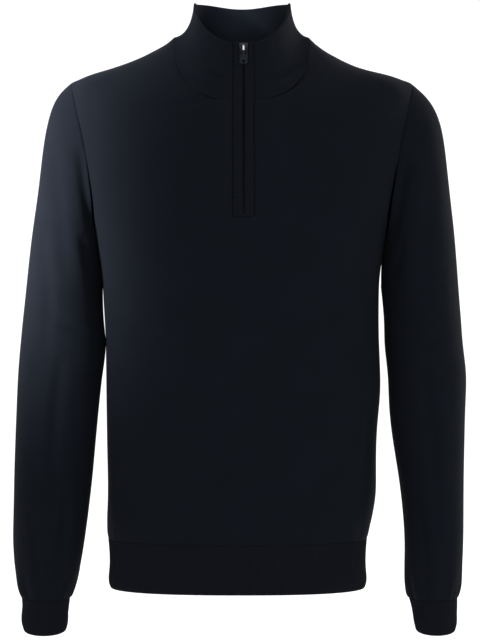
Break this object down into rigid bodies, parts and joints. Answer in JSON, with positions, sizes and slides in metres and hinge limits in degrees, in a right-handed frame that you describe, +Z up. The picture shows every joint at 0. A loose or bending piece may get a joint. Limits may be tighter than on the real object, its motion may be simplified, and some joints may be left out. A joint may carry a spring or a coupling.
{
  "type": "quarter-zip funnel-neck sweater",
  "caption": "Worn-form fine-knit pullover: hollow body and sleeves, ribbed hem and cuffs, standing collar open to a short front zip with a swinging pull tab.",
  "frame": {"origin": "between the shoulders, level with the inner ends of the shoulder seams, where the wearer's neck and shoulders carry the garment", "axes": "+Z up, the front faces -Y, the wearer's left side at +X"},
  "size_m": [0.5492, 0.2304, 0.7676],
  "materials": {
    "jersey_knit": "fine dark navy jersey knit, matt with a soft nap",
    "rib_knit": "dark navy rib knit",
    "zip_tape": "dark woven zip tape",
    "zip_metal": "darkened metal, satin"
  },
  "bodies": {
    "sweater": {"front_panel": "jersey_knit", "back_panel": "jersey_knit", "sleeve_right": "jersey_knit", "sleeve_left": "jersey_knit", "collar": "jersey_knit", "hem_rib_front": "rib_knit", "hem_rib_back": "rib_knit", "cuff_right": "rib_knit", "cuff_left": "rib_knit", "facing_band_right": "rib_knit", "facing_band_left": "rib_knit", "zip_tape": "zip_tape", "zip_slider": "zip_metal"},
    "tab": {"pull_tab": "zip_metal"}
  },
  "joints": [
    {"name": "pull_tab_swing", "type": "hinge", "parent": "sweater", "child": "tab", "pos_m": [0.0015, -0.07257, -0.01238], "axis": [-1, 0, 0], "range_deg": [0, 150]}
  ]
}
